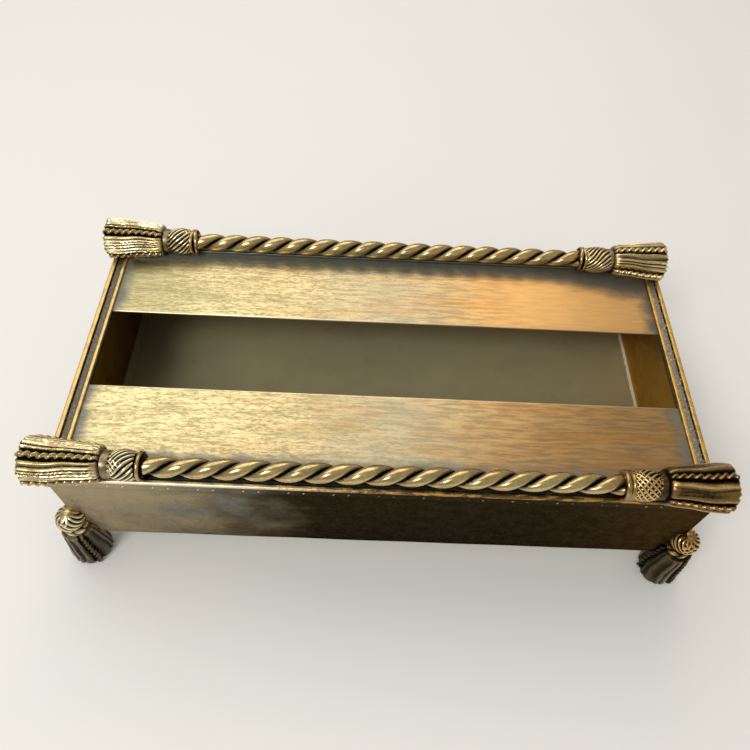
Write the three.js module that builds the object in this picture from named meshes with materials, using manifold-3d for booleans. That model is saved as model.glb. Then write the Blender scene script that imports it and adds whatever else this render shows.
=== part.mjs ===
// Gilt metal tissue box holder with rope-and-tassel trim, in millimetres, +Z up.
// A low sheet-metal box stands on four tassel feet. Its top is a moulded rim with two brushed strips and a
// full-length slot between them. A twisted two-strand rope with a tassel at each end lies along both long
// sides. The carton goes in from below, on a bottom plate that slides out at the right-hand end.
// Origin: on the table, under the middle of the box. +X is along the box, and -Y is its front.
import * as THREE from "three";
import { mergeVertices } from "three/addons/utils/BufferGeometryUtils.js";
import Module from "manifold-3d";

const wasm = await Module();
wasm.setup();

// ---- Driving dimensions ----
const HALF_L = 140; // rim's outer half length
const HALF_W = 69; // rim's outer half width
const FOOT_DROP = 17.8; // from the table to the walls' lower edge
const SHELL_H = 56.6; // from the walls' lower edge to the rim's top
const SHEET = 1.2; // wall, strip and plate thickness
const SLOT_HALF_W = 21.2; // half width of the slot in the top
const PLATE_DEPTH = 50.6; // from the rim's top down to the bottom plate's upper face
const SEAT_GAP = 0.1; // between a casting and the box that it is seated on

// ---- Rim moulding, as (distance in from its outer face, height above its top) ----
const RIM_APRON = 0.8; // thickness of the apron that wraps the walls
const RIM_APRON_H = 7;
const RIM_WIDTH = 7;
const RIM_DEPTH = 3.4;
const STRIP_DROP = 1.2; // from the rim's top down to the strips' upper face
const LEDGE = 2; // width of the ledge that carries a strip's long edge

// ---- Rope and tassels ----
const ROPE_Y = 63.6; // the rope's axis, from the middle of the box
const ROPE_RISE = 5; // the rope's axis above the rim's top
const STRAND_R = 2.08;
const STRAND_ORBIT = 2.2; // radius of the helix that a strand follows
// How far each rope runs in one turn, and its first strand's angle at the middle.
const LAY = { front: { pitch: 25, start: -0.12 }, back: { pitch: 23.4, start: -1.27 } };
const STRAND_STEPS = 66; // eight to a pitch
const COLLAR_X = 99;
const COLLAR_HALF = 1.5;
const COLLAR_R = 6.5;
const COLLAR_BORE = 4.5;
const KNOT_X0 = 100.8;
const KNOT_X1 = 111.4;
const KNOT_R = 6.7;
const SOCKET_R = 4.6; // the hollow in a knot that takes the rope's end
const SOCKET_DEPTH = 3.4;
const ROPE_HALF = 102.6; // half the rope's length, ending inside the knots' sockets
const NECK_R = 5.4;
const SKIRT_X0 = 114.2;
const SKIRT_X1 = 142.6;
const SKIRT_R = 10.4;
const TENON_R = 3; // the knot's tenon, in the skirt's bore
const TENON_L = 11;
const TENON_GAP = 0.3;

// ---- Feet ----
const FOOT_OUT = 1.2; // the foot's axis, out from the walls' corner in X and in Y
const FOOT_SKIRT_R = 10.2;
const FOOT_NECK_R = 4.8;
const FOOT_NECK_Z = 28;
const FOOT_BALL_Z = 35.8;
const FOOT_BALL_R = 6.2;
const FOOT_BALL_H = 5.8; // half the ball's height

// ---- Bottom plate and its rails ----
const PLATE_HALF_W = 63.6;
const RUN_GAP = 0.3; // running gap above and below the plate
const SIDE_GAP = 0.4; // running gap beside the plate
const RAIL_T = 1;
const RAIL_SHELF = 3; // how far a rail's lower flange reaches under the plate
const RAIL_CAP = 1.8; // how far its upper flange reaches over the plate
const STOP_SHELF = 8;
const STOP_CAP = 4;

// ---- Heights and faces worked out from them ----
const TOP = FOOT_DROP + SHELL_H;
const AXIS_Z = TOP + ROPE_RISE;
const WALL_TOP = TOP - RIM_DEPTH;
const WALL_X = HALF_L - RIM_APRON; // outer face of an end wall
const WALL_Y = HALF_W - RIM_APRON; // outer face of a long wall
const INNER_X = WALL_X - SHEET;
const INNER_Y = WALL_Y - SHEET;
const PLATE_TOP = TOP - PLATE_DEPTH;
const PLATE_BOTTOM = PLATE_TOP - SHEET;
const SHELF_TOP = PLATE_BOTTOM - RUN_GAP;
const CAP_BOTTOM = PLATE_TOP + RUN_GAP;

const finish = (color, roughness, metalness) => new THREE.MeshStandardMaterial({ color, roughness, metalness });
const materials = {
  satinWall: finish(0x7a6236, 0.42, 1),
  brushed: finish(0xc2a868, 0.38, 1),
  rim: finish(0xa07c3c, 0.4, 1),
  rope: finish(0xa98a4c, 0.26, 1),
  tassel: finish(0xb6964e, 0.32, 1),
  inside: finish(0x6b675a, 0.6, 0.6),
};

const group = new THREE.Group();

function add(name, geometry, material) {
  const mesh = new THREE.Mesh(geometry, material);
  mesh.name = name;
  group.add(mesh);
}

// ---- Geometry helpers ----
function block([x0, x1], [y0, y1], [z0, z1]) {
  const box = new THREE.BoxGeometry(x1 - x0, y1 - y0, z1 - z0);
  return box.translate((x0 + x1) / 2, (y0 + y1) / 2, (z0 + z1) / 2);
}

// A flat outline of [first, second] points, extruded through depth.
function extrude(points, depth) {
  const shape = new THREE.Shape(points.map(([a, b]) => new THREE.Vector2(a, b)));
  return new THREE.ExtrudeGeometry(shape, { depth, bevelEnabled: false });
}

// An outline of [y, z] points, extruded from x0 to x1.
function alongX(points, x0, x1) {
  const turn = new THREE.Matrix4().makeBasis(
    new THREE.Vector3(0, 1, 0),
    new THREE.Vector3(0, 0, 1),
    new THREE.Vector3(1, 0, 0),
  );
  return extrude(points, x1 - x0).applyMatrix4(turn).translate(x0, 0, 0);
}

// A profile of [radius, height] points, turned about Z. It runs upwards on its outside.
function turned(profile, segments) {
  const points = profile.map(([r, h]) => new THREE.Vector2(r, h));
  return new THREE.LatheGeometry(points, segments).rotateX(Math.PI / 2);
}

// The same, turned about +X, with a flat facet downwards.
function turnedAboutX(profile, segments) {
  return turned(profile, segments).rotateZ(Math.PI / segments).rotateY(Math.PI / 2);
}

function solid(geometry) {
  const bare = geometry.index ? geometry.toNonIndexed() : geometry.clone();
  bare.deleteAttribute("normal");
  bare.deleteAttribute("uv");
  const merged = mergeVertices(bare, 1e-4);
  return new wasm.Manifold(
    new wasm.Mesh({
      numProp: 3,
      vertProperties: new Float32Array(merged.attributes.position.array),
      triVerts: new Uint32Array(merged.index.array),
    }),
  );
}

function cut(geometry, ...tools) {
  const left = tools.reduce((body, tool) => body.subtract(solid(tool)), solid(geometry));
  const mesh = left.getMesh();
  return new THREE.BufferGeometry()
    .setAttribute("position", new THREE.BufferAttribute(mesh.vertProperties, 3))
    .setIndex(new THREE.BufferAttribute(mesh.triVerts, 1));
}

// ---- Box: four walls, butted at the corners ----
const WALL_Z = [FOOT_DROP, WALL_TOP];
add("front_wall", block([-WALL_X, WALL_X], [-WALL_Y, -INNER_Y], WALL_Z), materials.satinWall);
add("back_wall", block([-WALL_X, WALL_X], [INNER_Y, WALL_Y], WALL_Z), materials.satinWall);
add("left_end_wall", block([-WALL_X, -INNER_X], [-INNER_Y, INNER_Y], WALL_Z), materials.satinWall);

// The right end wall is cut away along its foot for the bottom plate.
const doorHalf = PLATE_HALF_W + SIDE_GAP;
const rightWall = [
  [-INNER_Y, FOOT_DROP],
  [-doorHalf, FOOT_DROP],
  [-doorHalf, CAP_BOTTOM],
  [doorHalf, CAP_BOTTOM],
  [doorHalf, FOOT_DROP],
  [INNER_Y, FOOT_DROP],
  [INNER_Y, WALL_TOP],
  [-INNER_Y, WALL_TOP],
];
add("right_end_wall", alongX(rightWall, INNER_X, WALL_X), materials.satinWall);

// ---- Rim: four mitred lengths of a beaded channel moulding ----
const stripUnder = -STRIP_DROP - SHEET;
const outerFace = [
  [RIM_APRON, -RIM_DEPTH],
  [RIM_APRON, -RIM_APRON_H],
  [0, -RIM_APRON_H],
  [0, -0.4],
];
const lipGrooveBead = [
  [0.4, 0],
  [1.2, 0],
  [1.5, -1.1],
  [2.6, -1.1],
  [2.9, -0.5],
  [5.6, -0.5],
  [5.8, 0],
  [6.7, 0],
  [RIM_WIDTH, -0.3],
];
const plainBack = [[RIM_WIDTH, -RIM_DEPTH]];
const ledgeBack = [
  [RIM_WIDTH, stripUnder],
  [RIM_WIDTH + LEDGE, stripUnder],
  [RIM_WIDTH + LEDGE, -RIM_DEPTH],
];

// A length of moulding along the front, mitred at both ends, then turned about Z to its own side.
function moulding(back, halfAlong, halfAcross, turn) {
  const outline = [...outerFace, ...lipGrooveBead, ...back].reverse();
  const geometry = alongX(outline, -1, 1);
  const at = geometry.attributes.position;
  for (let i = 0; i < at.count; i++) {
    const inwards = at.getY(i);
    at.setXYZ(i, at.getX(i) * (halfAlong - inwards), inwards - halfAcross, at.getZ(i) + TOP);
  }
  return geometry.rotateZ(turn);
}
add("front_rim", moulding(ledgeBack, HALF_L, HALF_W, 0), materials.rim);
add("back_rim", moulding(ledgeBack, HALF_L, HALF_W, Math.PI), materials.rim);
add("left_rim", moulding(plainBack, HALF_W, HALF_L, -Math.PI / 2), materials.rim);
add("right_rim", moulding(plainBack, HALF_W, HALF_L, Math.PI / 2), materials.rim);

// ---- Top strips, in front of the slot and behind it ----
const STRIP_X = HALF_L - RIM_WIDTH;
const STRIP_Y = HALF_W - RIM_WIDTH;
const STRIP_Z = [TOP + stripUnder, TOP - STRIP_DROP];
add("front_strip", block([-STRIP_X, STRIP_X], [-STRIP_Y, -SLOT_HALF_W], STRIP_Z), materials.brushed);
add("back_strip", block([-STRIP_X, STRIP_X], [SLOT_HALF_W, STRIP_Y], STRIP_Z), materials.brushed);

// ---- Rails and stop that carry the bottom plate ----
function railOutline(side) {
  const web = PLATE_HALF_W + SIDE_GAP;
  const shelf = PLATE_HALF_W - RAIL_SHELF;
  const cap = PLATE_HALF_W - RAIL_CAP + SIDE_GAP;
  const points = [
    [shelf, SHELF_TOP - RAIL_T],
    [INNER_Y, SHELF_TOP - RAIL_T],
    [INNER_Y, SHELF_TOP],
    [web + RAIL_T, SHELF_TOP],
    [web + RAIL_T, CAP_BOTTOM + RAIL_T],
    [cap, CAP_BOTTOM + RAIL_T],
    [cap, CAP_BOTTOM],
    [web, CAP_BOTTOM],
    [web, SHELF_TOP],
    [shelf, SHELF_TOP],
  ];
  return side > 0 ? points : points.map(([y, z]) => [-y, z]).reverse();
}
add("front_rail", alongX(railOutline(-1), -INNER_X, INNER_X), materials.inside);
add("back_rail", alongX(railOutline(1), -INNER_X, INNER_X), materials.inside);

// The stop is a channel on the left end wall, open towards +X, between the rails' flanges.
const stopHalf = PLATE_HALF_W - RAIL_SHELF - SIDE_GAP;
const stop = cut(
  block([-INNER_X, STOP_SHELF - INNER_X], [-stopHalf, stopHalf], [SHELF_TOP - RAIL_T, CAP_BOTTOM + RAIL_T]),
  block([RAIL_T - INNER_X, STOP_SHELF], [-HALF_W, HALF_W], [SHELF_TOP, CAP_BOTTOM]),
  block([STOP_CAP - INNER_X, STOP_SHELF], [-HALF_W, HALF_W], [SHELF_TOP, TOP]),
);
add("plate_stop", stop, materials.inside);

// ---- Bottom plate, whose turned-down lip fills the gap under the right end wall ----
const PLATE_X0 = RAIL_T + SIDE_GAP - INNER_X;
const plateOutline = [
  [PLATE_X0, PLATE_BOTTOM],
  [INNER_X, PLATE_BOTTOM],
  [INNER_X, FOOT_DROP],
  [WALL_X, FOOT_DROP],
  [WALL_X, PLATE_TOP],
  [PLATE_X0, PLATE_TOP],
];
const plate = extrude(plateOutline, 2 * PLATE_HALF_W)
  .rotateX(Math.PI / 2)
  .translate(0, PLATE_HALF_W, 0);
add("bottom_plate", plate, materials.inside);

// ---- Ropes: two strands each, laid up left-handed ----
class Strand extends THREE.Curve {
  constructor(phase, pitch) {
    super();
    this.phase = phase;
    this.pitch = pitch;
  }
  getPoint(t) {
    const x = ROPE_HALF * (2 * t - 1);
    const turn = this.phase - (2 * Math.PI * x) / this.pitch;
    return new THREE.Vector3(x, STRAND_ORBIT * Math.cos(turn), STRAND_ORBIT * Math.sin(turn));
  }
}

function strand(phase, pitch, y) {
  const section = new THREE.Shape();
  section.absarc(0, 0, STRAND_R, 0, 2 * Math.PI, false);
  const path = new Strand(phase, pitch);
  const geometry = new THREE.ExtrudeGeometry(section, {
    steps: STRAND_STEPS,
    curveSegments: 4,
    extrudePath: path,
    bevelEnabled: false,
  });
  return geometry.translate(0, y, AXIS_Z);
}

// ---- Tassels, each turned about the rope's axis and seated on the rim ----
const arc = (n, f) => Array.from({ length: n + 1 }, (_, i) => f(i / n));

const collarProfile = arc(8, (t) => [
  (COLLAR_R + COLLAR_BORE) / 2 + ((COLLAR_R - COLLAR_BORE) / 2) * Math.cos(2 * Math.PI * t),
  COLLAR_X + COLLAR_HALF * Math.sin(2 * Math.PI * t),
]);

const knotMid = (KNOT_X0 + KNOT_X1) / 2;
const knotBulge = (t) => {
  const angle = Math.PI * (t - 0.5) * 0.72;
  return [KNOT_R * Math.cos(angle), knotMid + ((KNOT_X1 - KNOT_X0) / 2) * (Math.sin(angle) / Math.sin(Math.PI * 0.36))];
};
const knotProfile = [
  [0, KNOT_X0 + SOCKET_DEPTH],
  [SOCKET_R, KNOT_X0 + SOCKET_DEPTH],
  [SOCKET_R, KNOT_X0],
  [KNOT_R - 1.2, KNOT_X0],
  ...arc(6, knotBulge).slice(1, -1),
  [NECK_R, KNOT_X1],
  [NECK_R, SKIRT_X0 - SEAT_GAP],
  [TENON_R, SKIRT_X0 - SEAT_GAP],
  [TENON_R, SKIRT_X0 + TENON_L],
  [0, SKIRT_X0 + TENON_L],
];

const boreEnd = SKIRT_X0 + TENON_L + TENON_GAP;
const skirtProfile = [
  [0, boreEnd],
  [TENON_R + TENON_GAP, boreEnd],
  [TENON_R + TENON_GAP, SKIRT_X0],
  [NECK_R + 0.4, SKIRT_X0],
  [SKIRT_R - 3.1, SKIRT_X0 + 1.2],
  [SKIRT_R - 2.1, SKIRT_X0 + 3.6],
  [SKIRT_R - 1.2, SKIRT_X0 + 10],
  [SKIRT_R - 0.3, SKIRT_X1 - 7],
  [SKIRT_R, SKIRT_X1 - 2],
  [SKIRT_R - 0.7, SKIRT_X1 - 0.6],
  [SKIRT_R - 2, SKIRT_X1],
  [0, SKIRT_X1],
];

// The part of the box that a tassel is seated on.
const rimSeat = block(
  [-HALF_L - SEAT_GAP, HALF_L + SEAT_GAP],
  [-HALF_W - SEAT_GAP, HALF_W + SEAT_GAP],
  [0, TOP + SEAT_GAP],
);

function onRope(profile, segments, endX, sideY) {
  const piece = turnedAboutX(profile, segments);
  if (endX < 0) piece.rotateZ(Math.PI);
  return cut(piece.translate(0, sideY * ROPE_Y, AXIS_Z), rimSeat);
}

// ---- Feet: a ball over a fringe, one casting, notched for the box's corner ----
const footProfile = [
  [0, 0],
  [FOOT_SKIRT_R - 1.2, 0],
  [FOOT_SKIRT_R, 1.6],
  [FOOT_SKIRT_R, 5],
  [FOOT_SKIRT_R - 0.7, 12],
  [FOOT_SKIRT_R - 1.7, 20],
  [FOOT_SKIRT_R - 2.9, 24.4],
  [FOOT_NECK_R, FOOT_NECK_Z - 1.2],
  [FOOT_NECK_R, FOOT_NECK_Z + 2],
  ...arc(5, (t) => {
    const angle = Math.PI * (0.7 * t - 0.26);
    return [FOOT_BALL_R * Math.cos(angle), FOOT_BALL_Z + FOOT_BALL_H * Math.sin(angle)];
  }),
  [0, FOOT_BALL_Z + FOOT_BALL_H],
];

const cornerSeat = block(
  [-WALL_X - SEAT_GAP, WALL_X + SEAT_GAP],
  [-WALL_Y - SEAT_GAP, WALL_Y + SEAT_GAP],
  [FOOT_DROP - SEAT_GAP, TOP],
);

// The bottom plate's way out, which is also cut from the right-hand feet.
const platePath = block(
  [0, WALL_X + 2 * FOOT_SKIRT_R],
  [-PLATE_HALF_W - SIDE_GAP, PLATE_HALF_W + SIDE_GAP],
  [FOOT_DROP - RUN_GAP, CAP_BOTTOM],
);

function foot(endX, sideY) {
  const piece = turned(footProfile, 14).translate(endX * (WALL_X + FOOT_OUT), sideY * (WALL_Y + FOOT_OUT), 0);
  return endX > 0 ? cut(piece, cornerSeat, platePath) : cut(piece, cornerSeat);
}

// ---- Trim on both long sides, and a tassel and a foot at each corner ----
for (const [side, sideY] of Object.entries({ front: -1, back: 1 })) {
  const { pitch, start } = LAY[side];
  add(`${side}_rope_strand_a`, strand(start, pitch, sideY * ROPE_Y), materials.rope);
  add(`${side}_rope_strand_b`, strand(start + Math.PI, pitch, sideY * ROPE_Y), materials.rope);
  for (const [end, endX] of Object.entries({ left: -1, right: 1 })) {
    const corner = `${side}_${end}`;
    add(`${corner}_collar`, onRope(collarProfile, 14, endX, sideY), materials.rope);
    add(`${corner}_tassel_knot`, onRope(knotProfile, 14, endX, sideY), materials.tassel);
    add(`${corner}_tassel_skirt`, onRope(skirtProfile, 18, endX, sideY), materials.tassel);
    add(`${corner}_foot`, foot(endX, sideY), materials.tassel);
  }
}

export default group;
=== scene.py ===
import math

import bmesh
import bpy
import numpy as np
from mathutils import Matrix, Vector


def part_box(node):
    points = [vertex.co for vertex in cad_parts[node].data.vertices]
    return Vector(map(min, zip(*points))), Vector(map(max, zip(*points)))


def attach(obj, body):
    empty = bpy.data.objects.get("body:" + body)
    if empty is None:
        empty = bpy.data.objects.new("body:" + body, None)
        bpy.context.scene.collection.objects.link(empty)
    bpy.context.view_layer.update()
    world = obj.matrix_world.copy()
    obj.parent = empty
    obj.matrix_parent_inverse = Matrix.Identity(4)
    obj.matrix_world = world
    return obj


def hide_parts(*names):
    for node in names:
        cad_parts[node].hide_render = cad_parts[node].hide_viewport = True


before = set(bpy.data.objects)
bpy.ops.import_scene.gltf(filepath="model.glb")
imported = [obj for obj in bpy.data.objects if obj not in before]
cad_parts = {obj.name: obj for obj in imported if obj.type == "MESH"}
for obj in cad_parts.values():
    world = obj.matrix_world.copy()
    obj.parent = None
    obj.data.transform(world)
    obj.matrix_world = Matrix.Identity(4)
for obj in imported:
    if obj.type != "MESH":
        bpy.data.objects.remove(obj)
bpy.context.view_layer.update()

MM = 0.001
FRONT, BACK = -1, 1
LEFT, RIGHT = -1, 1
SIDES = {"front": FRONT, "back": BACK}
ENDS = {"left": LEFT, "right": RIGHT}


# ---- Places taken from the frame, in millimetres ----
def corners(node):
    return tuple(np.array(corner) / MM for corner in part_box(node))


rim_low, rim_high = corners("back_rim")
HALF_L = rim_high[0]
HALF_W = rim_high[1]
TOP = rim_high[2]
APRON_FOOT = rim_low[2]
STRIP_TOP = corners("back_strip")[1][2]
STRIP_BOTTOM = corners("back_strip")[0][2]
STRIP_X = corners("back_strip")[1][0]
STRIP_Y = corners("back_strip")[1][1]
SLOT_Y = corners("back_strip")[0][1]
LEDGE_Y = rim_low[1]

wall_low, wall_high = corners("back_wall")
WALL_X = wall_high[0]
WALL_Y = wall_high[1]
WALL_FOOT = wall_low[2]
WALL_TOP = wall_high[2]
INNER_Y = wall_low[1]
SHEET = WALL_Y - INNER_Y

strand_low, strand_high = corners("back_rope_strand_a")
ROPE_Y = (strand_low[1] + strand_high[1]) / 2
AXIS_Z = (strand_low[2] + strand_high[2]) / 2
ROPE_END = strand_high[0]

COLLAR_X0, COLLAR_X1 = (corners("back_right_collar")[i][0] for i in (0, 1))
COLLAR_R = corners("back_right_collar")[1][2] - AXIS_Z
KNOT_X0 = corners("back_right_tassel_knot")[0][0]
KNOT_R = corners("back_right_tassel_knot")[1][2] - AXIS_Z
SKIRT_X0, SKIRT_X1 = (corners("back_right_tassel_skirt")[i][0] for i in (0, 1))
SKIRT_R = corners("back_right_tassel_skirt")[1][2] - AXIS_Z

plate_low, plate_high = corners("bottom_plate")

foot_low, foot_high = corners("back_right_foot")
FOOT_X = (foot_low[0] + foot_high[0]) / 2
FOOT_Y = (foot_low[1] + foot_high[1]) / 2
FOOT_R = (foot_high[0] - foot_low[0]) / 2
SEAT_GAP = 0.1  # between a casting and the box that it is seated on
PATH_GAP = 0.7  # between the right-hand feet and the bottom plate's way out
SIDE_GAP = 0.4  # beside the bottom plate
RUN_GAP = 0.3  # above the bottom plate
RAIL_SHEET = 1.0
RAIL_CAP = 1.8  # how far a rail's upper flange reaches in from its web


# ---- Numbers ----
def smooth(low, high, value):
    """0 below low and 1 above high, with a smooth rise between them."""
    t = np.clip((value - low) / (high - low), 0, 1)
    return t * t * (3 - 2 * t)


def ripple(x, y, seed, length):
    """A smooth random height, mostly between -1 and 1, whose waves are about length long."""
    random = np.random.default_rng(seed)
    total = 0
    for _ in range(6):
        angle, phase = random.uniform(0, 2 * math.pi, 2)
        pace = 2 * math.pi / length * random.uniform(0.6, 1.7)
        total = total + np.sin(pace * (x * math.cos(angle) + y * math.sin(angle)) + phase)
    return total / 3.5


def wave_round(theta, s, seed, lobes, length):
    """As ripple, but the same at theta and at theta plus a full turn."""
    random = np.random.default_rng(seed)
    total = 0
    for _ in range(5):
        turns = random.integers(1, lobes + 1)
        phase, pace = random.uniform(0, 2 * math.pi), 2 * math.pi / length * random.uniform(-1.5, 1.5)
        total = total + np.sin(turns * theta + pace * s + phase)
    return total / 3


# ---- Meshes ----
def wrapped(points, flat_ends=False):
    """A closed skin over rows of points that run round an axis, with its two ends closed."""
    rows, around = points.shape[:2]
    ring = np.arange(around)
    after = np.roll(ring, -1)
    faces = []
    for row in range(rows - 1):
        base = row * around
        faces += [(base + i, base + j, base + around + j, base + around + i) for i, j in zip(ring, after)]
    vertices = points.reshape(-1, 3)
    last = (rows - 1) * around
    if flat_ends:
        faces += [tuple(ring[::-1]), tuple(last + ring)]
        return vertices, faces
    tip = rows * around
    vertices = np.vstack([vertices, points[0].mean(0), points[-1].mean(0)])
    faces += [(j, i, tip) for i, j in zip(ring, after)]
    faces += [(last + i, last + j, tip + 1) for i, j in zip(ring, after)]
    return vertices, faces


def make_piece(name, skin, material, body="root", stands_for=(), crest=None, crease=38):
    """A piece from its vertices in millimetres. crest is 0 in a hollow and 1 on a ridge, for each vertex."""
    vertices, faces = skin
    mesh = bpy.data.meshes.new(name)
    places = (np.asarray(vertices) * MM).tolist()
    mesh.from_pydata(places, [], [tuple(int(i) for i in face) for face in faces])
    tidy = bmesh.new()
    tidy.from_mesh(mesh)
    bmesh.ops.recalc_face_normals(tidy, faces=tidy.faces)
    tidy.to_mesh(mesh)
    tidy.free()
    mesh.polygons.foreach_set("use_smooth", np.ones(len(mesh.polygons), bool))
    mesh.set_sharp_from_angle(angle=math.radians(crease))
    if crest is not None:
        values = np.zeros(len(mesh.vertices), np.float32)
        values[: len(crest)] = crest
        mesh.attributes.new("crest", "FLOAT", "POINT").data.foreach_set("value", values)
    mesh.materials.append(material)
    piece = bpy.data.objects.new(name, mesh)
    bpy.context.scene.collection.objects.link(piece)
    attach(piece, body)
    if stands_for:
        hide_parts(*stands_for)
    return piece


def outline(points, arc_steps=4, spacing=None):
    """A closed outline from (a, b, corner radius) points, with straight runs cut at the given spacing."""
    count = len(points)
    made = []
    for i in range(count):
        here = np.array(points[i][:2], float)
        radius = points[i][2]
        back = np.array(points[i - 1][:2], float) - here
        ahead = np.array(points[(i + 1) % count][:2], float) - here
        back, ahead = back / np.linalg.norm(back), ahead / np.linalg.norm(ahead)
        bend = math.acos(np.clip(np.dot(back, ahead), -1, 1))
        if radius <= 0 or abs(bend - math.pi) < 1e-6:
            made.append(here)
            continue
        reach = radius / math.tan(bend / 2)
        start, stop = here + back * reach, here + ahead * reach
        middle = back + ahead
        centre = here + middle / np.linalg.norm(middle) * radius / math.sin(bend / 2)
        for t in np.linspace(0, 1, arc_steps + 1):
            spoke = (start - centre) * (1 - t) + (stop - centre) * t
            made.append(centre + spoke / np.linalg.norm(spoke) * radius)
    if spacing is None:
        return np.array(made)
    dense = []
    for here, ahead in zip(made, made[1:] + made[:1]):
        pieces = max(1, int(np.linalg.norm(ahead - here) / spacing))
        dense += [here + (ahead - here) * k / pieces for k in range(pieces)]
    return np.array(dense)


def inset(points, depth):
    """The outline moved inwards by depth, along its own normals."""
    before, after = np.roll(points, 1, 0), np.roll(points, -1, 0)
    along = after - before
    normal = np.stack([along[:, 1], -along[:, 0]], 1)
    normal /= np.linalg.norm(normal, axis=1)[:, None]
    area = np.sum(points[:, 0] * after[:, 1] - after[:, 0] * points[:, 1])
    return points - normal * depth * np.sign(area)


def stations(start, stop, spacing, soft):
    """Places along a sweep as (place, inset), with its two ends rounded over by soft."""
    steps = 3
    middle = np.linspace(start + soft, stop - soft, max(2, int((stop - start) / spacing)))
    angles = np.linspace(0, math.pi / 2, steps, endpoint=False)
    ends = [(soft * (1 - math.cos(a)), soft * (1 - math.sin(a))) for a in angles]
    head = [(start + along, deep) for along, deep in ends]
    tail = [(stop - along, deep) for along, deep in reversed(ends)]
    return head + [(place, 0.0) for place in middle] + tail


def swept(points, places, to_space):
    """A closed skin from an outline carried along its sweep. to_space turns (place, a, b) into x, y, z."""
    rows = []
    for place, depth in places:
        section = inset(points, depth) if depth > 0 else points
        rows.append(np.stack(to_space(np.full(len(section), place), section[:, 0], section[:, 1]), 1))
    return wrapped(np.array(rows), flat_ends=True)


# ---- Shader nodes ----
FINISH = "_finish"


class Shader:
    """One material's node tree, with short calls for the nodes that the brass finishes use."""

    def __init__(self, name):
        self.material = bpy.data.materials.new(name + FINISH)
        self.material.use_nodes = True
        self.tree = self.material.node_tree
        self.surface = self.tree.nodes["Principled BSDF"]
        place = self.tree.nodes.new("ShaderNodeTexCoord")
        self.place = place.outputs["Object"]
        self.x, self.y, self.z = self.node("ShaderNodeSeparateXYZ", {0: self.place}).outputs

    def feed(self, socket, value):
        """Links a socket to another node's output, or sets it. A plain colour gets its alpha here."""
        if isinstance(value, bpy.types.NodeSocket):
            self.tree.links.new(value, socket)
        else:
            socket.default_value = (*value, 1.0) if socket.type == "RGBA" else value

    def node(self, kind, sockets, **settings):
        made = self.tree.nodes.new(kind)
        for key, value in settings.items():
            setattr(made, key, value)
        for key, value in sockets.items():
            self.feed(made.inputs[key], value)
        return made

    def math(self, operation, first, second=0.0):
        return self.node("ShaderNodeMath", {0: first, 1: second}, operation=operation).outputs[0]

    def times(self, first, second):
        return self.math("MULTIPLY", first, second)

    def plus(self, first, second):
        return self.math("ADD", first, second)

    def noise(self, size, detail=3.0, rough=0.55, stretch=(1, 1, 1), seed=0.0):
        """Noise between 0 and 1, whose features are about size millimetres times stretch."""
        scale = tuple(1 / (size * MM * s) for s in stretch)
        shift = (seed, seed * 1.7, seed * 2.3)
        spot = self.node("ShaderNodeMapping", {"Vector": self.place, "Scale": scale, "Location": shift})
        sockets = {"Vector": spot.outputs[0], "Scale": 1.0, "Detail": detail, "Roughness": rough}
        return self.node("ShaderNodeTexNoise", sockets).outputs["Fac"]

    def range(self, value, low, high, to_low=0.0, to_high=1.0):
        sockets = {"Value": value, "From Min": low, "From Max": high, "To Min": to_low, "To Max": to_high}
        return self.node("ShaderNodeMapRange", sockets, interpolation_type="SMOOTHSTEP").outputs[0]

    def crest(self):
        return self.node("ShaderNodeAttribute", {}, attribute_name="crest").outputs["Fac"]

    def mix(self, amount, first, second):
        made = self.tree.nodes.new("ShaderNodeMix")
        made.data_type = "RGBA"
        colours = [s for s in made.inputs if s.type == "RGBA"]
        for socket, value in ((made.inputs[0], amount), (colours[0], first), (colours[1], second)):
            self.feed(socket, value)
        return [s for s in made.outputs if s.type == "RGBA"][0]

    def size_of(self, value):
        return self.math("ABSOLUTE", value)

    def finish(self, colour, rough, height=None, depth=0.05, metallic=1.0):
        """Links the finish. depth is the bump's height in millimetres."""
        for name, value in (("Base Color", colour), ("Roughness", rough), ("Metallic", metallic)):
            self.feed(self.surface.inputs[name], value)
        if height is not None:
            bump = self.node("ShaderNodeBump", {"Height": height, "Distance": depth * MM, "Strength": 1.0})
            self.tree.links.new(bump.outputs[0], self.surface.inputs["Normal"])
        return self.material


CREAM = (0.90, 0.77, 0.45)
GOLD = (0.68, 0.52, 0.24)
OLD_GOLD = (0.44, 0.34, 0.15)
COPPER = (0.58, 0.35, 0.14)
BROWN = (0.245, 0.165, 0.086)
UMBER = (0.058, 0.051, 0.034)
SOOT_AND_SHADE = (0.008, 0.006, 0.004)
TAUPE = (0.520, 0.450, 0.320)
PALE = (1.0, 0.92, 0.68)
DARK_GOLD = (0.46, 0.39, 0.19)
HAZE = (0.36, 0.38, 0.31)
OLIVE = (0.36, 0.33, 0.17)
RUST = (0.50, 0.24, 0.07)
PIT = (0.20, 0.165, 0.075)
PAINTED_FOLD_HIGHLIGHT = (1.0, 0.93, 0.68)
ORANGE = (0.92, 0.58, 0.24)
DULL_OLIVE = (0.34, 0.32, 0.17)
SLATE = (0.12, 0.13, 0.115)
PALE_SLATE = (0.22, 0.24, 0.215)
BLACK_SLATE = (0.055, 0.065, 0.065)
BLUE_GREY = (0.300, 0.330, 0.340)
TOFFEE = (0.140, 0.098, 0.040)
AMBER = (0.50, 0.31, 0.09)
DARK_AMBER = (0.34, 0.21, 0.065)
PAINTED_LIGHT_AMBER = (0.85, 0.55, 0.18)
GREY = (0.16, 0.15, 0.12)
PALE_GREY = (0.30, 0.285, 0.25)
CHARCOAL = (0.05, 0.046, 0.036)
YELLOW_BRASS = (0.84, 0.53, 0.11)
BROWN_BRASS = (0.66, 0.38, 0.12)
DARK_BROWN = (0.050, 0.036, 0.018)
FLECK = (0.80, 0.75, 0.60)
DARK_VERDIGRIS_AND_SHADOW = (0.030, 0.034, 0.030)
VERDIGRIS = (0.075, 0.115, 0.095)
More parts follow.
